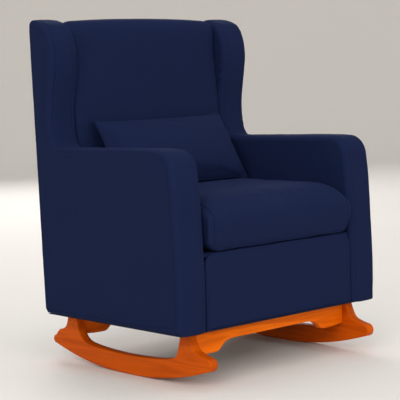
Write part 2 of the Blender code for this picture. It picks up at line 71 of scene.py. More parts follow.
LENGTHWAYS = [0, 3, 2, 1]    # corners of a quad, taken first along the way and then round it


# ---------------------------------------------------------------- sizes and colours
class RockerSizes(bpy.types.PropertyGroup):
    """Lengths that shape the upholstery and the wood."""

    roll: bpy.props.FloatProperty(
        name="Arm roll", description="Radius of the arm's and wing's padded edges",
        default=0.017, min=0.008, max=0.019, unit="LENGTH")
    seam_depth: bpy.props.FloatProperty(
        name="Seam depth", description="How deep a sewn seam sits in the padding",
        default=0.0021, min=0.0, max=0.004, unit="LENGTH")
    seam_width: bpy.props.FloatProperty(
        name="Seam width", description="Half width of the valley at a seam",
        default=0.0019, min=0.0005, max=0.004, unit="LENGTH")
    pucker: bpy.props.FloatProperty(
        name="Pucker", description="Height of the gathers that run along a seam",
        default=0.0004, min=0.0, max=0.002, unit="LENGTH")
    back_crown: bpy.props.FloatProperty(
        name="Back crown", description="How far the middle of the back stands before its sides",
        default=0.020, min=0.0, max=0.03, unit="LENGTH")
    pillow_width: bpy.props.FloatProperty(
        name="Pillow width", description="Width of the lumbar pillow from seam to seam",
        default=0.486, min=0.3, max=0.52, unit="LENGTH")
    pillow_height: bpy.props.FloatProperty(
        name="Pillow height", description="Height of the lumbar pillow from seam to seam",
        default=0.232, min=0.15, max=0.3, unit="LENGTH")
    pillow_thick: bpy.props.FloatProperty(
        name="Pillow thickness", description="Thickness of the lumbar pillow in its middle",
        default=0.096, min=0.05, max=0.12, unit="LENGTH")
    eased_edge: bpy.props.FloatProperty(
        name="Eased edge", description="Radius of the wooden boards' edges",
        default=0.0032, min=0.001, max=0.006, unit="LENGTH")


class RockerColours(bpy.types.PropertyGroup):
    """Colours of the cloth, the wood and the studio."""

    cloth: bpy.props.FloatVectorProperty(
        name="Cloth", description="Colour of the cloth", subtype="COLOR",
        default=(0.0055, 0.0103, 0.0388), min=0.0, max=1.0)
    cloth_pale: bpy.props.FloatVectorProperty(
        name="Cloth, raised threads", description="Colour of the cloth's raised threads", subtype="COLOR",
        default=(0.0091, 0.0161, 0.0565), min=0.0, max=1.0)
    wood: bpy.props.FloatVectorProperty(
        name="Wood", description="Colour of the finished wood", subtype="COLOR",
        default=(0.930, 0.178, 0.0010), min=0.0, max=1.0)
    wood_dark: bpy.props.FloatVectorProperty(
        name="Wood grain", description="Colour of the wood's darker grain", subtype="COLOR",
        default=(0.620, 0.086, 0.0006), min=0.0, max=1.0)
    # Runner colours: a redder tone of the wood, and darker as well. The darkening is painted shade for the weaker light
    # on the runners' outer sides.
    runner: bpy.props.FloatVectorProperty(
        name="Runner wood", description="Colour of the runners' redder boards", subtype="COLOR",
        default=(0.590, 0.090, 0.0006), min=0.0, max=1.0)
    runner_grain_shaded: bpy.props.FloatVectorProperty(
        name="Runner grain", description="Colour of the darker grain in the runners", subtype="COLOR",
        default=(0.400, 0.050, 0.0004), min=0.0, max=1.0)
    timber: bpy.props.FloatVectorProperty(
        name="Frame timber", description="Colour of the hidden frame timber", subtype="COLOR",
        default=(0.62, 0.42, 0.22), min=0.0, max=1.0)
    floor: bpy.props.FloatVectorProperty(
        name="Floor", description="Colour of the studio floor", subtype="COLOR",
        default=(0.80, 0.77, 0.73), min=0.0, max=1.0)


def sizes():
    return bpy.context.scene.rocker_sizes


def colours():
    return bpy.context.scene.rocker_colours


# ---------------------------------------------------------------- shader maths
class Wire:
    """A shader socket to reckon with: arithmetic on it adds Math nodes."""

    def __init__(self, paint, socket):
        self.paint = paint
        self.socket = socket

    def math(self, operation, *others):
        return self.paint.math(operation, self, *others)

    def __add__(self, other):
        return self.math("ADD", other)

    def __sub__(self, other):
        return self.math("SUBTRACT", other)

    def __rsub__(self, other):
        return self.paint.math("SUBTRACT", other, self)

    def __mul__(self, other):
        return self.math("MULTIPLY", other)

    __radd__ = __add__
    __rmul__ = __mul__

    def sine(self):
        return self.math("SINE")

    def parts(self):
        """X, Y and Z of a place."""
        split = self.paint.node("ShaderNodeSeparateXYZ", {}, {0: self})
        return [Wire(self.paint, socket) for socket in split.socket.node.outputs]


class Paint:
    """A material under construction."""

    def __init__(self, name):
        self.material = bpy.data.materials.new(name)
        self.material.use_nodes = True
        self.tree = self.material.node_tree
        self.shader = self.tree.nodes["Principled BSDF"]

    def node(self, kind, settings=None, sockets=None, output=0):
        """Adds one node: its settings first, then the values or links of its sockets."""
        made = self.tree.nodes.new(kind)
        for key, value in (settings or {}).items():
            setattr(made, key, value)
        for key, value in (sockets or {}).items():
            self.feed(made.inputs[key], value)
        return Wire(self, made.outputs[output])

    def feed(self, socket, value):
        if isinstance(value, Wire):
            self.tree.links.new(value.socket, socket)
        elif socket.type == "RGBA":
            socket.default_value = (*value[:3], 1.0)
        else:
            socket.default_value = value

    def math(self, operation, *values):
        return self.node("ShaderNodeMath", {"operation": operation}, dict(enumerate(values)))

    def mix(self, factor, first, second):
        """Colour between two colours; the Mix node's colours are its sockets 6 and 7, and its output 2."""
        return self.node("ShaderNodeMix", {"data_type": "RGBA"}, {0: factor, 6: first, 7: second}, 2)

    def noise(self, place, scale, detail=2.0, **more):
        return self.node("ShaderNodeTexNoise", {}, {"Vector": place, "Scale": scale, "Detail": detail, **more})

    def stretched(self, place, scale):
        return self.node("ShaderNodeMapping", {}, {"Vector": place, "Scale": scale})

    def place(self):
        return self.node("ShaderNodeTexCoord", output="Object")

    def bump(self, height, strength, distance):
        sockets = {"Height": height, "Strength": strength, "Distance": distance}
        return self.node("ShaderNodeBump", {}, sockets, "Normal")

    def finish(self, constants, **sockets):
        """Feeds the shader: constants go on its own sockets, wires are linked."""
        for key, value in {**constants, **{k.replace("_", " "): v for k, v in sockets.items()}}.items():
            self.feed(self.shader.inputs[key], value)
        return self.material


# ---------------------------------------------------------------- curves
def smoothed(points, steps=6):
    """Cubic curve through the points: a span blends its four nearest points, with weights cubic in the way along."""
    p = np.asarray(points, float)
    p = np.vstack([2 * p[0] - p[1], p, 2 * p[-1] - p[-2]])
    t = (np.arange(steps) / steps)[None, :, None]
    a, b, c, d = (p[i:len(p) - 3 + i, None, :] for i in range(4))
    curve = 0.5 * (2 * b + (c - a) * t + (2 * a - 5 * b + 4 * c - d) * t ** 2 + (3 * b - a - 3 * c + d) * t ** 3)
    return np.vstack([curve.reshape(-1, p.shape[1]), p[-2]])


def bow(centre, radius, start, end, steps=12):
    """Points on a circle about centre, from one angle to another, in degrees."""
    turn = np.radians(np.linspace(start, end, steps + 1))
    return np.asarray(centre) + radius * np.stack([np.cos(turn), np.sin(turn)], 1)


def along(line):
    """Length of the line up to each of its points."""
    return np.concatenate([[0.0], np.cumsum(np.linalg.norm(np.diff(line, axis=0), axis=1))])


def crossing(rings):
    """Mean length over the rings, up to each of them."""
    return np.concatenate([[0], np.cumsum(np.linalg.norm(np.diff(rings, axis=0), axis=2).mean(1))])


def spaced(line, count):
    """The line as count equal steps along its length."""
    line = np.asarray(line, float)
    length = along(line)
    at = np.linspace(0, length[-1], count + 1)
    return np.stack([np.interp(at, length, line[:, i]) for i in range(line.shape[1])], 1)


def round_path(ring, count):
    """The closed ring as count points at equal steps along its length."""
    return spaced(np.vstack([ring, ring[:1]]), count)[:-1]


def closed_loop(edges, across, up):
    """Four edges end to end, with across, up, across and up equal steps on them."""
    return np.vstack([spaced(edge, count)[:-1] for edge, count in zip(edges, (across, up, across, up))])


def rectangle(low, high, across, up):
    """Outline of a box seen from above, as a closed loop."""
    corners = [(low[0], low[1]), (high[0], low[1]), (high[0], high[1]), (low[0], high[1])]
    return closed_loop([[corners[i], corners[(i + 1) % 4]] for i in range(4)], across, up)


def arched(half, foot, top, corner, steps, across, up):
    """Upright rectangle with round upper corners, as a closed loop; each side takes the lower half of its corner."""
    inner, rise = half - corner, top - corner
    right = [(half, foot), *bow((inner, rise), corner, 0, 45, steps)]
    crest = [*bow((inner, rise), corner, 45, 90, steps), *bow((-inner, rise), corner, 90, 135, steps)]
    left = [*bow((-inner, rise), corner, 135, 180, steps), (-half, foot)]
    return closed_loop([[(-half, foot), (half, foot)], right, crest, left], across, up)


def lifted(loop, height, axis):
    """The flat loop placed in space, at a height along one axis."""
    return np.insert(loop, axis, height, axis=1)


def inset(loop, distance):
    """The closed loop moved inwards, each point along the mitre of its two neighbouring sides.

    After a deep move, a point that ends too near to the loop is put between its neighbours."""
    side = np.roll(loop, -1, 0) - loop
    area = np.sum(loop[:, 0] * np.roll(loop[:, 1], -1) - loop[:, 1] * np.roll(loop[:, 0], -1))
    side /= np.maximum(np.linalg.norm(side, axis=1), 1e-9)[:, None]
    inward = np.stack([-side[:, 1], side[:, 0]], 1) * np.sign(area)
    before = np.roll(inward, 1, 0)
    mitre = (inward + before) / np.maximum(1 + np.sum(inward * before, 1), 0.3)[:, None]
    moved = loop + mitre * distance
    deep, close = 0.012, 0.97
    if np.ndim(distance) == 0 and distance > deep:
        near = np.linalg.norm(moved[:, None] - loop[None], axis=2).min(1)
        number, kept = np.arange(len(loop)), near > close * distance
        moved = np.stack([np.interp(number, number[kept], moved[kept, i], period=len(loop)) for i in (0, 1)], 1)
    return moved


def carried(loop, profile, axis, sign=1):
    """Rings of the closed loop carried along a profile of (inset, height)."""
    return np.stack([lifted(inset(loop, draw), sign * height, axis) for draw, height in profile])


def marks(total, spans, coarse, fine=0.0008):
    """Places along a length: coarse steps, with fine ones over each span that a seam runs in."""
    near = [np.arange(low, high + fine / 2, fine) for low, high in spans]
    steps = np.linspace(0, total, int(round(total / coarse)) + 1)[1:-1]
    clear = np.all([(steps < low - fine) | (steps > high + fine) for low, high in spans], axis=0)
    return np.sort(np.concatenate([[0, total], steps[clear], *near]))


def ripple(points, wave, seed, parts=9):
    """Smooth unevenness from -1 to 1: sine waves about that long, with directions and phases from a seeded table."""
    table = np.random.default_rng(seed)
    ways = table.normal(size=(parts, points.shape[-1]))
    ways /= np.linalg.norm(ways, axis=1)[:, None]
    ways *= 2 * math.pi / (wave * table.uniform(0.6, 1.6, (parts, 1)))
    return np.sin(points @ ways.T + table.uniform(0, 2 * math.pi, parts)).sum(-1) / parts ** 0.5 / 1.5


# ---------------------------------------------------------------- surfaces
def patch(ring, across, up):
    """Points that fill a closed ring: lower side blended to upper, plus left to right, less the corners' blend."""
    low, right = ring[:across + 1], ring[across:across + up + 1]
    high = ring[across + up:2 * across + up + 1][::-1]
    left = np.vstack([ring[2 * across + up:], ring[:1]])[::-1]
    s = np.linspace(0, 1, across + 1)[:, None, None]
    t = np.linspace(0, 1, up + 1)[None, :, None]
    corners = ((1 - s) * (1 - t) * ring[0] + s * (1 - t) * ring[across]
               + s * t * ring[across + up] + (1 - s) * t * ring[2 * across + up])
    return (1 - t) * low[:, None] + t * high[:, None] + (1 - s) * left[None] + s * right[None] - corners


def bands(count, around, closed=False):
    """Number of each ring and of each point on it, and the quads between rings of around points."""
    j, k = np.meshgrid(np.arange(count if closed else count - 1), np.arange(around), indexing="ij")
    onward, after = (j + 1) % count, (k + 1) % around
    return j, k, np.stack([j * around + k, j * around + after, onward * around + after, onward * around + k], -1)


def shell(rings, across, up, bulges=((0, 0, 0), (0, 0, 0))):
    """Closed skin: rings joined by bands of quads, with a patch on each end.

    A patch stands out by its bulge times the product of two half sine waves to the power 0.7.
    Gives the skin's points, its quads and a flat place in metres for each quad's corners."""
    count, around = rings.shape[:2]
    j, k, quads = bands(count, around)
    points, quads, flats = [rings.reshape(-1, 3)], [quads], []
    round_way = np.linalg.norm(np.roll(rings, -1, 1) - rings, axis=2).mean(0)
    round_way = np.concatenate([[0], np.cumsum(round_way)])
    over_way = crossing(rings)
    corner = [(round_way[k], over_way[j]), (round_way[k + 1], over_way[j]),
              (round_way[k + 1], over_way[j + 1]), (round_way[k], over_way[j + 1])]
    flats.append(np.stack([np.stack(pair, -1) for pair in corner], -2))
    start = count * around
    waves = [np.sin(np.linspace(0, math.pi, steps + 1)) for steps in (across, up)]
    swell = np.clip(np.outer(*waves), 0, 1) ** 0.7
    i, m = np.arange(across + 1), np.arange(up + 1)
    for end, bulge in zip((0, count - 1), bulges):
        net = patch(rings[end], across, up) + swell[..., None] * np.asarray(bulge, float)
        names = np.empty((across + 1, up + 1), int)
        names[:, 0] = end * around + i
        names[across, :] = end * around + across + m
        names[:, up] = end * around + 2 * across + up - i
        names[0, :] = end * around + (2 * across + 2 * up - m) % around
        inner = (across - 1) * (up - 1)
        names[1:-1, 1:-1] = start + np.arange(inner).reshape(across - 1, up - 1)
        start += inner
        points.append(net[1:-1, 1:-1].reshape(-1, 3))
        cells = np.stack([names[:-1, :-1], names[1:, :-1], names[1:, 1:], names[:-1, 1:]], -1)
        quads.append(cells)
        broad = np.sort(np.argsort(np.ptp(rings[end], axis=0))[1:])
        spot = net[..., broad]
        flats.append(np.stack([spot[:-1, :-1], spot[1:, :-1], spot[1:, 1:], spot[:-1, 1:]], -2))
    return (np.vstack(points), np.vstack([q.reshape(-1, 4) for q in quads]),
            np.vstack([f.reshape(-1, 4, 2) for f in flats]))


def put(name, data):
    """A new object of a mesh, a lamp or a lens, in the scene."""
    made = bpy.data.objects.new(name, data)
    bpy.context.scene.collection.objects.link(made)
    return made


def piece(name, points, faces, flats=None, sharp=None):
    """Makes an object of points and faces, with its faces pointing outwards."""
    mesh = bpy.data.meshes.new(name)
    mesh.from_pydata(points.tolist(), [], faces if isinstance(faces, list) else faces.tolist())
    if flats is not None:
        mesh.uv_layers.new(name="weave").data.foreach_set("uv", flats.astype(np.float32).ravel())
    work = bmesh.new()
    work.from_mesh(mesh)
    bmesh.ops.recalc_face_normals(work, faces=work.faces)
    work.to_mesh(mesh)
    work.free()
    mesh.shade_smooth()
    if sharp:
        mesh.set_sharp_from_angle(angle=math.radians(sharp))
    return put(name, mesh)


def joined(parts):
    """Several pieces' points, faces and flats as one piece's."""
    starts = np.cumsum([0] + [len(p[0]) for p in parts[:-1]])
    return (np.vstack([p[0] for p in parts]), np.vstack([p[1] + s for p, s in zip(parts, starts)]),
            np.vstack([p[2] for p in parts]))


def read(items, key):
    """Three numbers of every item, such as a mesh's points or its normals."""
    flat = np.empty(len(items) * 3, np.float32)
    items.foreach_get(key, flat)
    return flat.reshape(-1, 3)


def places(made):
    """The points of a piece."""
    return read(made.data.vertices, "co").astype(float)


def set_places(made, points):
    made.data.vertices.foreach_set("co", points.astype(np.float32).ravel())
    made.data.update()


def push(made, heights):
    """Moves each point along its normal."""
    set_places(made, places(made) + read(made.data.vertex_normals, "vector") * heights[:, None])


def sewn(rings, seams, inner):
    """How far a seamed skin's points stand from the smooth one.

    Each seam is a valley of exp(-(distance / width) squared), with gathers that die away from it."""
    over_way = crossing(rings)[:, None]
    way = along(rings[len(rings) // 2])[None, :, None]
    height = np.zeros(rings.shape[:2])
    for number, seam in enumerate(seams):
        off = np.abs(over_way - np.asarray(seam))
        height -= sizes().seam_depth * np.exp(-(off / sizes().seam_width) ** 2)
        gathers = ripple(way, 0.016, 40 + number)
        height += sizes().pucker * gathers * np.exp(-off / 0.008) * (1 - np.exp(-(off / 0.002) ** 2))
    return np.concatenate([height.ravel(), np.zeros(inner)])


def tube(path, radius, across, sides=8, closed=False):
    """Round cord along a path: each ring stands square to the way, turned by a fixed cross direction."""
    path = np.asarray(path, float)
    way = np.roll(path, -1, 0) - np.roll(path, 1, 0) if closed else np.gradient(path, axis=0)
    way /= np.linalg.norm(way, axis=1)[:, None]
    first = np.cross(way, across)
    first /= np.linalg.norm(first, axis=1)[:, None]
    second = np.cross(way, first)
    turn = np.linspace(0, 2 * math.pi, sides, endpoint=False)
    cosine, sine = np.cos(turn)[None, :, None], np.sin(turn)[None, :, None]
    rings = path[:, None] + radius * (cosine * first[:, None] + sine * second[:, None])
    j, k, quads = bands(len(path), sides, closed)
    quads = quads[..., LENGTHWAYS].reshape(-1, 4)
    length = along(np.vstack([path, path[:1]]))
    ring_way = 2 * math.pi * radius / sides
    corners = ((j, k), (j + 1, k), (j + 1, k + 1), (j, k + 1))
    flats = np.stack([np.stack([length[row], step * ring_way], -1) for row, step in corners], -2).reshape(-1, 4, 2)
    points = rings.reshape(-1, 3)
    if not closed:
        points = np.vstack([points, path[:1], path[-1:]])
        ring = np.arange(sides)
        for tip, base in ((len(points) - 2, 0), (len(points) - 1, (len(path) - 1) * sides)):
            around = base + ring
            onward = base + (ring[0::2] + 2) % sides
            caps = np.stack([around[0::2], around[1::2], onward, np.full(sides // 2, tip)], -1)
            quads = np.vstack([quads, caps])
            flats = np.vstack([flats, np.zeros((sides // 2, 4, 2))])
    return points, quads, flats


def board(loop, low, high, axis, name, sign=1):
    """Flat board: the loop carried across its thickness, drawn in along a quarter circle at both faces."""
    ease, flat_strip = sizes().eased_edge, 0.0006
    turn = np.linspace(0, math.pi / 2, 5)
    draw = np.concatenate([[ease + flat_strip], ease * (1 - np.sin(turn))])
    rise = np.concatenate([[0], ease * (1 - np.cos(turn))])
    steps = [(d, low + r) for d, r in zip(draw, rise)] + [(d, high - r) for d, r in zip(draw[::-1], rise[::-1])]
    return piece(name, *capped(carried(loop, steps, axis, sign)), sharp=50)


def capped(rings):
    """Points and faces of rings joined by bands of quads, with one flat face on each end."""
    count, around = rings.shape[:2]
    ring = np.arange(around)
    quads = bands(count, around)[2].reshape(-1, 4).tolist()
    return rings.reshape(-1, 3), quads + [ring[::-1].tolist(), (ring + (count - 1) * around).tolist()]


# ---------------------------------------------------------------- cloth simulation
def blown_up(made, pressure, most, frames=20, stiffness=15.0):
    """Blows a closed skin up as cloth with no gravity; each point goes where the cloth took it, within most."""
    scene = bpy.context.scene
    start = places(made)
    cloth = made.modifiers.new("cloth", "CLOTH")
    cloth.settings.use_pressure = True
    cloth.settings.uniform_pressure_force = pressure
    cloth.settings.effector_weights.gravity = 0
    cloth.settings.tension_stiffness = stiffness
    cloth.settings.compression_stiffness = stiffness
    cloth.settings.shear_stiffness = stiffness / 3
    cloth.settings.bending_stiffness = 0.3
    cloth.collision_settings.use_collision = False
    cloth.point_cache.frame_end = frames + 1
    for frame_number in range(1, frames + 1):
        scene.frame_set(frame_number)
    shown = made.evaluated_get(bpy.context.evaluated_depsgraph_get()).to_mesh()
    shift = read(shown.vertices, "co") - start
    made.modifiers.remove(cloth)
    scene.frame_set(1)
    if not np.isfinite(shift).all():
        raise RuntimeError(f"the cloth of {made.name} did not settle")
    far = np.linalg.norm(shift, axis=1)[:, None]
    set_places(made, start + shift * (most * np.tanh(far / most) / np.maximum(far, 1e-9)))


def finer(made):
    """One level of subdivision, put into the mesh."""
    level = made.modifiers.new("finer", "SUBSURF")
    level.levels = level.render_levels = 1
    level.uv_smooth = "NONE"
    fine = bpy.data.meshes.new_from_object(made.evaluated_get(bpy.context.evaluated_depsgraph_get()))
    made.modifiers.remove(level)
    rough, made.data = made.data, fine
    bpy.data.meshes.remove(rough)
    made.data.shade_smooth()


# ---------------------------------------------------------------- cloth and pads
def dress(made, material, stands_for=None, body=BODY):
    """Gives a piece its finish and its body, and takes the place of the plain solid that it stands for."""
    made.data.materials.clear()
    made.data.materials.append(material)
    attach(made, body)
    if stands_for:
        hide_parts(stands_for)
    return made


def rolled(low, high, radius_low, radius_high, puff, flat=0.0):
    """Profile over a pad's edge as (inset, place across), with a quarter circle on both sides of a band.

    The band stands out by puff times half a sine wave to the power 0.7; a flat strip may follow."""
    turn = np.linspace(0, math.pi / 2, 13)
    first = np.stack([radius_low * (1 - np.sin(turn)), low + radius_low * (1 - np.cos(turn))], 1)
    last = np.stack([radius_high * (1 - np.sin(turn)), high - radius_high * (1 - np.cos(turn))], 1)[::-1]
    share = np.linspace(0, 1, 25)[1:-1]
    width = high - low - radius_low - radius_high
    band = np.stack([-puff * np.sin(math.pi * share) ** 0.7, low + radius_low + share * width], 1)
    strip = [(radius_high + flat, high)] if flat else np.empty((0, 2))
    return np.vstack([first, band, last, strip])


def side_edges():
    """Outline of an arm and its wing from the side, as four edges.

    They are the arm's top with the wing's front, the wing's top, the rear with the foot, and the arm's front."""
    corner = 0.058
    foot = (-0.2925, 0.1451)
    front = smoothed([foot, (-0.2950, 0.270), (-0.2895, 0.430), (-0.2845, 0.520), (-0.2790, 0.565)])
    turn = (-0.2790 + corner, 0.565)
    top = smoothed([
        (-0.2205, 0.6230), (-0.1800, 0.6245), (0.0000, 0.6220), (0.1500, 0.6195), (0.1960, 0.6195), (0.2140, 0.6240),
        (0.2260, 0.6430), (0.2330, 0.6850), (0.2320, 0.7400), (0.2180, 0.8200), (0.2125, 0.8650), (0.2160, 0.9080),
        (0.2280, 0.9430)])
    crest = smoothed([(0.2280, 0.9430), (0.2500, 0.9660), (0.3000, 0.9810), (0.3170, 0.9720), (0.3202, 0.9500)])
    heel = bow((0.2778, 0.1651), 0.0200, 2, -88)
    rear = [(0.3202, 0.9500), *heel, foot]
    top = np.vstack([bow(turn, corner, 134, 92), top])
    return [top, crest, rear, np.vstack([front[:-1], bow(turn, corner, 178, 134)])]


def build_side(side, sign, material):
    """Padded side: the side outline carried across the arm's thickness over rolled edges.

    A seam runs along each edge of its band; the outer one lies on the flat side at the arm, on the band at the wing."""
    low, high = ARM_LOW[0], ARM_HIGH[0]
    across, up = 190, 84
    loop = closed_loop(side_edges(), across, up)
    profile = rolled(low, high, sizes().roll, sizes().roll - 0.003, 0.0012, 0.012)
    length = along(profile)
    start = length[-14]
    wing = np.clip((loop[:, 1] - 0.60) / 0.10, 0, 1)
    top = np.clip((loop[:, 0] + 0.26) / 0.10, 0, 1)
    band_edge, reach, rise, onto_band = length[12], 0.0275, 0.007, 0.002
    outer = start + (reach - rise * top) * (1 - wing) - onto_band * wing
    seams = (band_edge, outer)
    steps = marks(length[-1], [(band_edge - 0.004, band_edge + 0.004), (start - 0.006, start + 0.0312)], 0.005)
    draw, place = (np.interp(steps, length, profile[:, i]) for i in (0, 1))
    rings = carried(loop, zip(draw, place), 0, sign)
    points, quads, flats = shell(rings, across, up, ((0, 0, 0), (sign * 0.0022, 0, 0)))
    made = piece(f"padded_side_{side}", points, quads, flats)
    inner = len(points) - rings.shape[0] * rings.shape[1]
    push(made, sewn(rings, seams, inner) + 0.00035 * ripple(points, 0.09, 3) + 0.00018 * ripple(points, 0.03, 4))
    return dress(made, material, f"arm_and_wing_{side}")


def build_inside_back(material):
    """Padded back: its side outline carried across between the wings.

    It is drawn in towards both wings by a slow crown and a quarter-round edge, 1 - sqrt(1 - share squared)."""
    half = 0.2814
    low_z = DECK_TOP + 0.0003
    across, up = 170, 10
    front = smoothed([
        (0.2030, low_z), (0.2080, 0.440), (0.2190, 0.590), (0.2255, 0.690), (0.2340, 0.790), (0.2395, 0.870),
        (0.2415, 0.925), (0.2465, 0.957), (0.2640, 0.9780), (0.2910, 0.9840), (0.3120, 0.9740), (0.3202, 0.9480)])
    crest, shoulder, heel, toe = (0.3202, 0.9480), (0.2640, 0.9453), (0.2465, low_z), (0.2030, low_z)
    loop = closed_loop([front, [crest, shoulder], [shoulder, heel], [heel, toe]], across, up)
    share = np.zeros(len(loop))
    place = np.linspace(0, 1, across + 1)
    share[:across + 1] = np.clip((1 - place) / 0.05, 0, 1) * np.clip(place / 0.03, 0, 1)
    edge = 0.028
    x = np.concatenate([-half + edge * (1 - np.cos(np.linspace(0, math.pi / 2, 14)))[:-1],
                        np.linspace(-half + edge, half - edge, 72),
                        half - edge * (1 - np.cos(np.linspace(0, math.pi / 2, 14)))[:-1][::-1]])
    roll = 1 - np.clip((half - np.abs(x)) / edge, 0, 1)
    crown = sizes().back_crown
    draw = 0.4 * crown * (np.abs(x) / half) ** 2.4 + 0.6 * crown * (1 - np.sqrt(np.clip(1 - roll ** 2, 0, 1)))
    rings = np.stack([lifted(inset(loop, (d * share)[:, None]), at, 0) for d, at in zip(draw, x)])
    points, quads, flats = shell(rings, across, up)
    made = piece("padded_back", points, quads, flats)
    calm = (0.955 - points[:, 2]) / 0.05
    slack = 0.0011 * ripple(points * (1.0, 1.0, 0.45), 0.11, 11) + 0.0003 * ripple(points, 0.035, 12)
    pulls = np.exp(-(half - np.abs(points[:, 0])) / 0.018) * 0.0006 * ripple(points[:, 1:], 0.022, 13)
    front_share = np.clip((0.300 - points[:, 1]) / 0.02, 0, 1)
    push(made, (slack * np.clip(calm, 0.15, 1) + pulls * np.clip(calm, 0, 1)) * front_share)
    return dress(made, material, "inside_back")


def build_outside_back(material):
    """Outer back panel: a rounded rectangle carried from the frame's leaning line to a gently bowed outside."""
    half, foot, top, corner = 0.364, 0.1451, 0.956, 0.034
    across, up = 110, 130
    loop = arched(half, foot, top, corner, 6, across, up)
    bowed = smoothed([(0.1451, 0.3035), (0.24, 0.3100), (0.47, 0.3180), (0.62, 0.3240), (0.76, 0.3285),
                      (0.88, 0.3300), (0.96, 0.3270)])
    profile = np.array([(0.0045, 0.0), (0.0010, 0.12), (0.0, 0.35), (0.0004, 0.6), (0.0022, 0.82),
                        (0.0050, 0.95), (0.0085, 1.0), (0.0125, 1.0)])
    rings = []
    for draw, share in profile:
        ring = inset(loop, draw)
        inner = 0.2960 + (ring[:, 1] - 0.1451) * BACK_SLOPE
        outer = np.interp(ring[:, 1], bowed[:, 0], bowed[:, 1])
        rings.append(np.column_stack([ring[:, 0], inner + share * (outer - inner), ring[:, 1]]))
    rings = np.stack(rings)
    points, quads, flats = shell(rings, across, up)
    outer = np.interp(points[:, 2], bowed[:, 0], bowed[:, 1])
    skin = np.arange(len(points)) >= len(points) - (across - 1) * (up - 1)
    points[skin, 1] = outer[skin] + 0.0025 * (1 - (points[skin, 0] / half) ** 4)
    made = piece("outer_back", points, quads, flats)
    push(made, np.where(skin, 0.0009 * ripple(points, 0.14, 21) + 0.0002 * ripple(points, 0.04, 22), 0))
    welt = piece("outer_back_welt", *tube(round_path(rings[4], 900), 0.0021, (0.0, 1.0, 0.0), closed=True))
    dress(welt, material)
    return dress(made, material, "outside_back")


def build_front_panel(material):
    """Panel under the cushion: a rounded rectangle with rolled edges and a face that stands out in its middle."""
    half, foot, top, corner = 0.2818, 0.1451, 0.3512, 0.036
    across, up = 110, 44
    loop = arched(half, foot, top, corner, 8, across, up)
    turn = np.linspace(0, math.pi / 2, 9)
    draw = np.concatenate([[0.001, 0.0], 0.0046 * (1 - np.cos(turn))[1:], [0.0060, 0.0090]])
    place = np.concatenate([[-0.2811, -0.2822], -0.2822 - 0.0075 * np.sin(turn)[1:], [-0.2898, -0.2900]])
    rings = carried(loop, zip(draw, place), 1)
    points, quads, flats = shell(rings, across, up, ((0, 0, 0), (0, -0.0042, 0)))
    made = piece("front_pad", points, quads, flats)
    face = points[:, 1] < -0.2885
    push(made, np.where(face, 0.0006 * ripple(points, 0.10, 31) + 0.0002 * ripple(points, 0.03, 32), 0))
    return dress(made, material, "front_panel")


def build_seat_deck(material):
    """Covered deck under the cushion: a rectangle with rounded edges, a little hollow in its middle."""
    low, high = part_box("seat_deck")
    across, up = 80, 72
    loop = rectangle(low, high, across, up)
    rings = carried(loop, rolled(low[2], high[2], 0.003, 0.005, 0.0)[::2], 2)
    points, quads, flats = shell(rings, across, up, ((0, 0, 0), (0, 0, -0.002)))
    made = piece("deck_cover", points, quads, flats)
    return dress(made, material, "seat_deck")


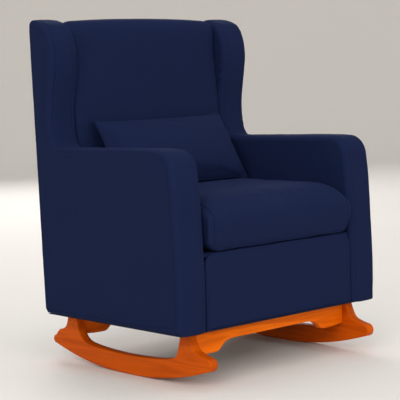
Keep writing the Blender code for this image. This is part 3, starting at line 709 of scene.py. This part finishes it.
def build_seat_cushion(material):
    """Loose seat cushion: its side outline carried across, blown up as cloth, with welts round its ends and lips.

    Over the last stretch, turn, before each end the heights shrink by turn * (1 - sqrt(1 - share squared)),
    times round_rear at the back and round_front at the front."""
    low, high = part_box("seat_cushion")
    half = high[0] - 0.0010
    floor, top = low[2], high[2] - 0.0025
    rear, front = high[1] - 0.004, low[1] + 0.0035
    across, up = 76, 30
    middle = (floor + top) / 2
    brow, lip = (-0.258, top - 0.0075), (front + 0.0120, floor + 0.0030)
    heel_low, heel_high = (rear - 0.006, floor + 0.010), (rear - 0.020, top - 0.008)
    upper = smoothed([heel_high, (rear - 0.06, top - 0.003), (0.050, top), (-0.120, top), (-0.215, top - 0.001), brow])
    nose = smoothed([brow, (-0.285, top - 0.0235), (front + 0.0045, top - 0.043), (front, middle - 0.008),
                     (front + 0.0040, floor + 0.024), lip])
    under = [lip, (front + 0.0180, floor - 0.0006), (front + 0.0320, floor + 0.0004), (rear - 0.020, floor + 0.0005),
             heel_low]
    heel = smoothed([heel_low, (rear, floor + 0.030), (rear, top - 0.050), (rear - 0.006, top - 0.020), heel_high])
    loop = closed_loop([upper, nose, under, heel], across, up)
    turn, round_rear, round_front, round_below = 0.052, 0.50, 0.90, 0.66
    end = half - turn + turn * np.sin(np.linspace(0, math.pi / 2, 15))
    x = np.concatenate([-end[::-1], np.linspace(turn - half, half - turn, 60)[1:-1], end])
    fall = 1 - np.sqrt(np.clip(1 - np.clip((np.abs(x) - half + turn) / turn, 0, 1) ** 2, 0, 1))
    nearer = np.clip((0.10 - loop[:, 0]) / 0.34, 0, 1)
    drawn = turn * (round_rear + (round_front - round_rear) * nearer)
    drawn *= np.where(loop[:, 1] < middle, round_below, 1.0)
    shrink = 1 - fall[:, None] * (drawn / (middle - floor))[None]
    rings = np.empty((len(x), len(loop), 3))
    rings[..., 0] = x[:, None]
    rings[..., 1] = loop[:, 0] + 0.010 * fall[:, None] ** 1.5 * np.clip((-0.22 - loop[:, 0]) / 0.08, 0, 1)
    rings[..., 2] = middle + (loop[:, 1] - middle) * shrink
    points, quads, flats = shell(rings, across, up)
    made = piece("cushion", points, quads, flats)
    blown_up(made, 4.0, 0.0060)
    count, around = rings.shape[:2]
    settled = places(made)
    arm_clear, back_clear, deck_clear, spread = 0.2802, 0.2000, DECK_TOP + 0.0018, 0.021
    settled[:, 0] = np.clip(settled[:, 0], -arm_clear, arm_clear)
    settled[:, 0] *= 1 + spread * np.clip((-0.286 - settled[:, 1]) / 0.022, 0, 1) ** 0.7
    settled[:, 1] = np.minimum(settled[:, 1], back_clear)
    settled[:, 2] = np.maximum(settled[:, 2], deck_clear)
    set_places(made, settled)
    grid = settled[:count * around].reshape(count, around, 3)
    finer(made)
    points = places(made)
    dimple = 0.0006 * ripple(points, 0.08, 51) + 0.00025 * ripple(points, 0.028, 52)
    push(made, dimple * np.clip((points[:, 2] - floor) / 0.03, 0, 1))
    dress(made, material, "seat_cushion", "seat_cushion_body")
    welt, cord_radius, from_end = [], 0.0017, 8
    for ring in (grid[from_end], grid[count - 1 - from_end]):
        path = round_path(ring, 620) + (np.sign(ring[0, 0]) * 0.0003, 0, 0)
        welt.append(tube(path, cord_radius, (1.0, 0.0, 0.0), closed=True))
    for corner, out in ((across + up, -0.0006), (2 * across + up, 0.0006)):
        path = spaced(grid[from_end:count - from_end, corner] + (0, out, 0), 300)
        welt.append(tube(path, cord_radius, (0.0, 1.0, 0.0)))
    cord = piece("cushion_welt", *joined(welt))
    dress(cord, material, body="seat_cushion_body")
    return made


def build_pillow(material):
    """Loose lumbar pillow: two faces sewn at their edge, which stand out by the product of two half sine waves.

    They are then blown up as cloth, so that the edge gathers."""
    low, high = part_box("lumbar_pillow")
    centre = (np.asarray(low) + np.asarray(high)) / 2
    lean = math.radians(32.0)
    width, tall, thick = sizes().pillow_width, sizes().pillow_height, sizes().pillow_thick
    across, up = 92, 46
    swell = 0.36 * thick
    a, b, round_off = width / 2 + 0.003, tall / 2 + 0.004, 0.010
    corners = [(-a, -b), (a, -b), (a, b), (-a, b)]
    turned = [bow((x - math.copysign(round_off, x), y - math.copysign(round_off, y)), round_off, start, start + 90, 6)
              for (x, y), start in zip(corners, (180, 270, 0, 90))]
    edges = [np.vstack([turned[i][3:], turned[(i + 1) % 4][:4]]) for i in range(4)]
    loop = closed_loop(edges, across, up)
    rings = carried(loop, ((0.004, -0.0022), (0.0, 0.0), (0.004, 0.0022)), 2)
    points, quads, flats = shell(rings, across, up, ((0, 0, -swell), (0, 0, swell)))
    made = piece("pillow", points, quads, flats)
    blown_up(made, 5.0, 0.012)
    flat = places(made)
    flat -= (flat.max(0) + flat.min(0)) / 2
    flat *= np.array([width, tall, thick]) / np.ptp(flat, axis=0)
    around = rings.shape[1]
    edge_line = flat[around:2 * around]
    turn = np.array([[1, 0, 0], [0, math.sin(lean), math.cos(lean)], [0, -math.cos(lean), math.sin(lean)]])
    set_places(made, flat @ turn + centre)
    finer(made)
    push(made, 0.0003 * ripple(places(made), 0.03, 61))
    seam_path = round_path(edge_line, 700) @ turn + centre
    seam = piece("pillow_seam", *tube(seam_path, 0.0014, turn[2], sides=6, closed=True))
    dress(seam, material, body="lumbar_pillow_body")
    return dress(made, material, "lumbar_pillow", "lumbar_pillow_body")


def staple(centre, axis):
    """Wire staple whose crown lies along the axis, with the start of both legs turned up into the timber."""
    reach, rise = np.zeros(3), np.array([0.0, 0.0, 0.0006])
    reach[axis] = 0.005
    square = (0.0, 1.0, 0.0) if axis == 0 else (1.0, 0.0, 0.0)
    return tube([centre - reach + rise, centre - reach, centre + reach, centre + reach + rise], 0.0004, square, 6)


def build_dust_cover(cloth, steel):
    """Cloth under the body: a rectangle that hangs by the product of two half sine waves, folded under and stapled."""
    low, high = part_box("dust_cover")
    across, up = 100, 78
    loop = rectangle(low, high, across, up)
    mid = (low[2] + high[2]) / 2
    profile = ((0.016, -0.0004), (0.0005, -0.0006), (0.0, 0.0), (0.0005, 0.0006), (0.002, 0.0006))
    rings = carried(loop, [(draw, mid + rise) for draw, rise in profile], 2)
    points, quads, flats = shell(rings, across, up, ((0, 0, -0.0024), (0, 0, -0.0020)))
    made = piece("liner", points, quads, flats)
    dress(made, cloth, "dust_cover")
    pitch, edge, drop = 0.045, 0.009, low[2] - 0.0001
    across_at = np.arange(low[0] + 0.02, high[0] - 0.015, pitch)
    up_at = np.arange(low[1] + 0.04, high[1] - 0.03, pitch)
    staples = [staple((x, y, drop), 0) for y in (low[1] + edge, high[1] - edge) for x in across_at]
    staples += [staple((x, y, drop), 1) for x in (low[0] + edge, high[0] - edge) for y in up_at]
    dress(piece("liner_staples", *joined(staples)), steel)
    return made


# ---------------------------------------------------------------- wood
def stepped(edges, step=0.003):
    """Edges end to end as one closed loop, in steps about that long, with every edge's own ends kept."""
    lengths = [along(np.asarray(edge, float))[-1] for edge in edges]
    return np.vstack([spaced(edge, max(1, int(round(length / step))))[:-1] for edge, length in zip(edges, lengths)])


def runner_edges():
    """Side view of a runner with its two posts: toe, rocking curve, tail, then the posts and the upper edge."""
    half, toe, tail, top, flat_end = 0.338, 0.018, 0.0125, 0.143, 0.052
    toe_y, tail_y = toe - half, half - tail

    def height(y, low_y):
        return RUNNER_RADIUS - math.sqrt(RUNNER_RADIUS ** 2 - (y - low_y) ** 2)

    def rocking(start, end, low_y):
        turn = [math.degrees(math.asin((y - low_y) / RUNNER_RADIUS)) - 90 for y in (start, end)]
        return bow((low_y, RUNNER_RADIUS), RUNNER_RADIUS, *turn, 40)

    rise = height(toe_y, RUNNER_LOW_Y)
    back = height(tail_y, flat_end * 0.55)
    return [
        bow((toe_y, rise + toe), toe, 90, 270, 24),
        rocking(toe_y, RUNNER_LOW_Y, RUNNER_LOW_Y),
        [(RUNNER_LOW_Y, 0.0), (flat_end * 0.55, 0.0)],
        rocking(flat_end * 0.55, tail_y, flat_end * 0.55),
        bow((tail_y, back + tail), tail, -90, 90, 18),
        smoothed([(tail_y, back + 2 * tail), (0.309, 0.0880), (0.290, 0.0935), (0.2765, 0.1020), (0.268, 0.1190),
                  (0.2625, top)]),
        [(0.2625, top), (0.226, top)],
        smoothed([(0.226, top), (0.222, 0.1200), (0.214, 0.0930), (0.196, 0.0710), (0.160, 0.0610),
                  (0.080, 0.0545), (0.000, 0.0530), (-0.080, 0.0555), (-0.150, 0.0615), (-0.196, 0.0715),
                  (-0.2105, 0.0920), (-0.219, 0.1210), (-0.225, top)]),
        [(-0.225, top), (-0.254, top)],
        smoothed([(-0.254, top), (-0.262, 0.1200), (-0.2745, 0.0990), (-0.295, 0.0900), (toe_y, rise + 2 * toe)]),
    ]


def build_runner(side, sign, material):
    """Runner board: its side view carried across the board's thickness with eased edges."""
    low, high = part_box(f"rocker_{side}")
    inner, outer = sorted((abs(low[0]), abs(high[0])))
    made = board(stepped(runner_edges()), inner, outer, 0, f"runner_{side}", sign)
    return dress(made, material, f"rocker_{side}")


def build_rail(end_name, material):
    """Rail: its front view, level above and arched between two feet below, carried across its thickness."""
    low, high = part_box(f"{end_name}_rail")
    end, top, foot, arch = high[0], high[2], low[2], 0.104
    curve = smoothed([(end, foot + 0.006), (0.262, foot + 0.0016), (0.232, foot), (0.205, foot + 0.001),
                      (0.192, foot + 0.010), (0.180, arch - 0.009), (0.162, arch - 0.0015), (0.140, arch)])
    edges = [[(-end, top), (end, top)], [(end, top), (end, foot + 0.006)], curve, [(0.140, arch), (-0.140, arch)],
             (curve * (-1, 1))[::-1], [(-end, foot + 0.006), (-end, top)]]
    made = board(stepped(edges), low[1], high[1], 1, f"rail_{end_name}")
    return dress(made, material, f"{end_name}_rail")


def turned(profile, centre, sign):
    """Solid of revolution about X: each (radius, reach) of the profile is carried once round the axis."""
    turn = np.linspace(0, 2 * math.pi, 28, endpoint=False)
    circle = np.stack([np.cos(turn), np.sin(turn)], 1)
    rings = [lifted(centre[1:] + radius * circle, centre[0] + sign * reach, 0) for radius, reach in profile]
    return capped(np.stack(rings))


def build_plugs(material):
    """Turned wooden plugs that close the bolt holes in the runners' outer faces."""
    profile = [(0.0040, -0.0030), (0.0064, -0.0030), (0.0064, 0.0000), (0.0060, 0.0002), (0.0048, 0.0003),
               (0.0020, 0.0003)]
    for side, sign in SIDES:
        for end in ENDS:
            low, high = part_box(f"rocker_bolt_{end}_{side}")
            runner_low, runner_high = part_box(f"rocker_{side}")
            face = max(abs(runner_low[0]), abs(runner_high[0]))
            centre = np.array([sign * face, (low[1] + high[1]) / 2, (low[2] + high[2]) / 2])
            dress(piece(f"bolt_plug_{end}_{side}", *turned(profile, centre, sign), sharp=60), material)


# ---------------------------------------------------------------- finishes
def woven_cloth(name, dark, pale, pitch, sheen):
    """Plain weave: the product of two sine waves on the cloth's own flat places, with slubs along both threads."""
    paint = Paint(name)
    flat = paint.node("ShaderNodeUVMap", {"uv_map": "weave"})
    place = paint.place()
    wander = paint.noise(place, 55.0) * 1.4
    u, v = (way * (2 * math.pi / pitch) + wander for way in flat.parts()[:2])
    weave = u.sine() * v.sine() * 0.5 + 0.5
    slubs = (paint.noise(paint.stretched(flat, (160.0, 2200.0, 1.0)), 1.0, 3.0)
             + paint.noise(paint.stretched(flat, (2200.0, 160.0, 1.0)), 1.0, 3.0)) * 0.5
    patches = paint.noise(place, 9.0, 4.0)
    tone = weave * 0.28 + slubs * 0.52 + patches * 0.35
    constants = {"Specular IOR Level": 0.06, "Sheen Weight": sheen, "Sheen Roughness": 0.4,
                 "Sheen Tint": (0.22, 0.32, 0.90)}
    return paint.finish(
        constants,
        Base_Color=paint.mix((tone - 0.22) * 1.35, dark, pale),
        Roughness=patches * 0.14 + 0.80,
        Normal=paint.bump(weave * 0.6 + slubs * 0.8, 0.32, 0.00035))


def oiled_wood(name, light, dark, grain_axis, gloss=0.36):
    """Straight-grained wood: growth bands with a slow wander, and fine pores drawn out along the grain."""
    paint = Paint(name)
    place = paint.place()
    wide, fine = [22.0] * 3, [420.0] * 3
    wide[grain_axis], fine[grain_axis] = 1.6, 9.0
    bands = (paint.noise(paint.stretched(place, wide), 1.0, 4.0, Distortion=0.6) * 30.0).sine() * 0.5 + 0.5
    pores = paint.noise(paint.stretched(place, fine), 1.0, 3.0)
    tone = bands * 0.38 + pores * 0.42 + paint.noise(place, 6.0) * 0.30
    return paint.finish(
        {"Specular IOR Level": 0.07},
        Base_Color=paint.mix((tone - 0.30) * 1.5, light, dark),
        Roughness=pores * 0.16 + gloss,
        Normal=paint.bump(pores * 0.7 + bands * 0.3, 0.10, 0.0004))


def brushed_steel(name):
    """Zinc-plated steel with fine drawn lines."""
    paint = Paint(name)
    place = paint.place()
    lines = paint.noise(paint.stretched(place, (80.0, 900.0, 900.0)), 1.0)
    return paint.finish(
        {"Metallic": 1.0},
        Base_Color=paint.mix(paint.noise(place, 180.0, 3.0), (0.50, 0.51, 0.53), (0.64, 0.65, 0.66)),
        Roughness=lines * 0.2 + 0.24,
        Normal=paint.bump(lines, 0.08, 0.0001))


def spun_liner(name):
    """Black spun-bonded liner: matted fibres and a grid of small bonded dimples."""
    paint = Paint(name)
    place = paint.place()
    x, y = (way * 2600.0 for way in place.parts()[:2])
    fibres = paint.noise(place, 900.0, 4.0)
    return paint.finish(
        {},
        Base_Color=paint.mix(fibres, (0.010, 0.010, 0.011), (0.026, 0.026, 0.029)),
        Roughness=fibres * 0.2 + 0.78,
        Normal=paint.bump(x.sine() * y.sine() * 0.3 + fibres, 0.3, 0.0002))


def finish_of(slot):
    """The finish of a slot, made when it is first asked for."""
    tint = colours()
    makers = {
        "navy_fabric": lambda name: woven_cloth(name, tint.cloth, tint.cloth_pale, 0.0011, 0.03),
        "cushion_fabric": lambda name: woven_cloth(name, tint.cloth, tint.cloth_pale, 0.0011, 0.04),
        "liner_cloth": spun_liner,
        "honey_wood": lambda name: oiled_wood(name, tint.wood, tint.wood_dark, 0),
        # The runner finish, also used on the plugs, has painted shade: its colours are darker than the wood's.
        "honey_wood_runner": lambda name: oiled_wood(name, tint.runner, tint.runner_grain_shaded, 1),
        "frame_timber": lambda name: oiled_wood(name, tint.timber, [0.78 * c for c in tint.timber], 2, 0.6),
        "steel": brushed_steel,
    }
    name = f"{slot}_finish"
    return bpy.data.materials.get(name) or makers[slot](name)


# ---------------------------------------------------------------- operators
class ROCKER_OT_hidden_parts(bpy.types.Operator):
    """Gives the timbers, springs, straps, bolts and corner blocks of the frame their finishes"""

    bl_idname = "rocker.hidden_parts"
    bl_label = "Frame finishes"

    def execute(self, context):
        slots = {part["node"]: part["material_slot"] for part in frame["record"]["subparts"]}
        for name, node in frame["nodes"].items():
            node.data.materials.clear()
            node.data.materials.append(finish_of(slots[name]))
        return {"FINISHED"}


class ROCKER_OT_sides(bpy.types.Operator):
    """Makes the two padded arms with their wings"""

    bl_idname = "rocker.sides"
    bl_label = "Arms and wings"

    def execute(self, context):
        for side, sign in SIDES:
            build_side(side, sign, finish_of("navy_fabric"))
        return {"FINISHED"}


class ROCKER_OT_back(bpy.types.Operator):
    """Makes the padded back and the outer back panel"""

    bl_idname = "rocker.back"
    bl_label = "Back"

    def execute(self, context):
        build_inside_back(finish_of("navy_fabric"))
        build_outside_back(finish_of("navy_fabric"))
        return {"FINISHED"}


class ROCKER_OT_seat(bpy.types.Operator):
    """Makes the panel under the cushion and the covered deck"""

    bl_idname = "rocker.seat"
    bl_label = "Seat"

    def execute(self, context):
        build_front_panel(finish_of("navy_fabric"))
        build_seat_deck(finish_of("navy_fabric"))
        return {"FINISHED"}


class ROCKER_OT_cushion(bpy.types.Operator):
    """Makes the loose seat cushion with its welts"""

    bl_idname = "rocker.cushion"
    bl_label = "Seat cushion"

    def execute(self, context):
        build_seat_cushion(finish_of("cushion_fabric"))
        return {"FINISHED"}


class ROCKER_OT_pillow(bpy.types.Operator):
    """Makes the loose lumbar pillow"""

    bl_idname = "rocker.pillow"
    bl_label = "Lumbar pillow"

    def execute(self, context):
        build_pillow(finish_of("cushion_fabric"))
        return {"FINISHED"}


class ROCKER_OT_dust_cover(bpy.types.Operator):
    """Makes the stapled cloth under the body"""

    bl_idname = "rocker.dust_cover"
    bl_label = "Dust cover"

    def execute(self, context):
        build_dust_cover(finish_of("liner_cloth"), finish_of("steel"))
        return {"FINISHED"}


class ROCKER_OT_base(bpy.types.Operator):
    """Makes the two runners, the two rails and the plugs over the bolts"""

    bl_idname = "rocker.base"
    bl_label = "Wooden base"

    def execute(self, context):
        for side, sign in SIDES:
            build_runner(side, sign, finish_of("honey_wood_runner"))
        for end in ENDS:
            build_rail(end, finish_of("honey_wood"))
        build_plugs(finish_of("honey_wood_runner"))
        return {"FINISHED"}


class ROCKER_OT_stage(bpy.types.Operator):
    """Makes the pale floor with its curved backdrop, the soft lights and the camera"""

    bl_idname = "rocker.stage"
    bl_label = "Studio"

    def execute(self, context):
        build_floor()
        build_lights()
        build_camera()
        return {"FINISHED"}


STEPS = (
    ROCKER_OT_hidden_parts, ROCKER_OT_sides, ROCKER_OT_back, ROCKER_OT_seat, ROCKER_OT_cushion,
    ROCKER_OT_pillow, ROCKER_OT_dust_cover, ROCKER_OT_base, ROCKER_OT_stage,
)


class ROCKER_PT_panel(bpy.types.Panel):
    """Sidebar panel with the chair's sizes, colours and steps"""

    bl_idname = "ROCKER_PT_panel"
    bl_label = "Nursery rocker"
    bl_space_type = "VIEW_3D"
    bl_region_type = "UI"
    bl_category = "Rocker"

    def draw(self, context):
        layout = self.layout
        for group in (context.scene.rocker_sizes, context.scene.rocker_colours):
            box = layout.box()
            for key in group.__annotations__:
                box.prop(group, key)
        for step in STEPS:
            layout.operator(step.bl_idname)


# ---------------------------------------------------------------- studio
def build_floor():
    """Round floor that runs up into a backdrop on a quarter circle, far enough out for a camera on any side."""
    reach, bend, high, below = 8.0, 4.0, 9.6, 0.0004
    turn = np.linspace(0, math.pi / 2, 24)
    out = np.concatenate([np.linspace(0, reach, 18), reach + bend * np.sin(turn[1:]), [reach + bend]])
    up = np.concatenate([np.zeros(18), bend * (1 - np.cos(turn[1:])), [high]]) - below
    around = np.linspace(0, 2 * math.pi, 96, endpoint=False)
    points = np.stack([np.outer(out[1:], np.cos(around)), np.outer(out[1:], np.sin(around)),
                       np.repeat(up[1:, None], len(around), 1)], -1)
    rows, columns = points.shape[:2]
    quads = bands(rows, columns)[2][..., LENGTHWAYS].reshape(-1, 4)
    mesh = bpy.data.meshes.new("floor")
    mesh.from_pydata(points.reshape(-1, 3).tolist(), [], quads.tolist() + [np.arange(columns).tolist()])
    mesh.shade_smooth()
    floor = put("floor", mesh)
    paint = Paint("floor")
    cloud = paint.noise(paint.place(), 0.8)
    tone = colours().floor
    paint.finish({}, Base_Color=paint.mix(cloud, [0.97 * c for c in tone], tone), Roughness=cloud * 0.1 + 0.75)
    mesh.materials.append(paint.material)


def build_lights():
    """Four broad soft lamps, one of them behind the chair, and an even pale surround."""
    world = bpy.data.worlds.new("studio")
    bpy.context.scene.world = world
    world.use_nodes = True
    surround = world.node_tree.nodes["Background"]
    surround.inputs["Color"].default_value = (1.0, 1.0, 1.0, 1.0)
    surround.inputs["Strength"].default_value = 0.72
    lamps = (("key", (-5.2, -3.1, 3.0), 4.0, 165.0), ("fill", (-1.0, -4.8, 2.0), 3.0, 74.0),
             ("top", (0.2, -0.2, 3.6), 2.8, 20.0), ("behind", (2.9, 5.0, 3.2), 3.6, 120.0))
    aim = np.array([0.0, 0.0, 0.45])
    for name, spot, size, power in lamps:
        light = bpy.data.lights.new(name, "AREA")
        light.shape = "DISK"
        light.size = size
        light.energy = power
        lamp = put(name, light)
        lamp.visible_camera = False
        lamp.matrix_world = looking(np.array(spot), aim - spot)


def looking(spot, way, roll=0.0):
    """Placement at spot, facing way: its X is level, then turned by roll about the way."""
    way = way / np.linalg.norm(way)
    right = np.cross(way, (0, 0, 1))
    right /= np.linalg.norm(right)
    up = np.cross(right, way)
    right, up = right * math.cos(roll) + up * math.sin(roll), up * math.cos(roll) - right * math.sin(roll)
    return Matrix(np.vstack([np.column_stack([right, up, -way, spot]), (0, 0, 0, 1)]).tolist())


def build_camera():
    """Camera with a long lens, at the height of the wings, turned towards the chair's right-hand front."""
    spot = np.array([-2.6961, -2.9360, 0.8293])
    yaw, pitch, roll = (math.radians(angle) for angle in (42.225, -5.3852, -1.8728))
    lens = bpy.data.cameras.new("camera")
    lens.lens = 125.3
    lens.sensor_width = 36.0
    camera = put("camera", lens)
    way = np.array([math.sin(yaw) * math.cos(pitch), math.cos(yaw) * math.cos(pitch), math.sin(pitch)])
    camera.matrix_world = looking(spot, way, roll)
    bpy.context.scene.camera = camera
    bpy.context.scene.view_settings.view_transform = "Standard"


# ---------------------------------------------------------------- add-on
GROUPS = (RockerSizes, RockerColours)


def register():
    for item in GROUPS + STEPS + (ROCKER_PT_panel,):
        bpy.utils.register_class(item)
    bpy.types.Scene.rocker_sizes = bpy.props.PointerProperty(type=RockerSizes)
    bpy.types.Scene.rocker_colours = bpy.props.PointerProperty(type=RockerColours)


def unregister():
    del bpy.types.Scene.rocker_colours
    del bpy.types.Scene.rocker_sizes
    for item in reversed(GROUPS + STEPS + (ROCKER_PT_panel,)):
        bpy.utils.unregister_class(item)


def main():
    """Registers the add-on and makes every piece."""
    register()
    for step in STEPS:
        group, name = step.bl_idname.split(".")
        getattr(getattr(bpy.ops, group), name)()


if __name__ == "__main__":
    main()
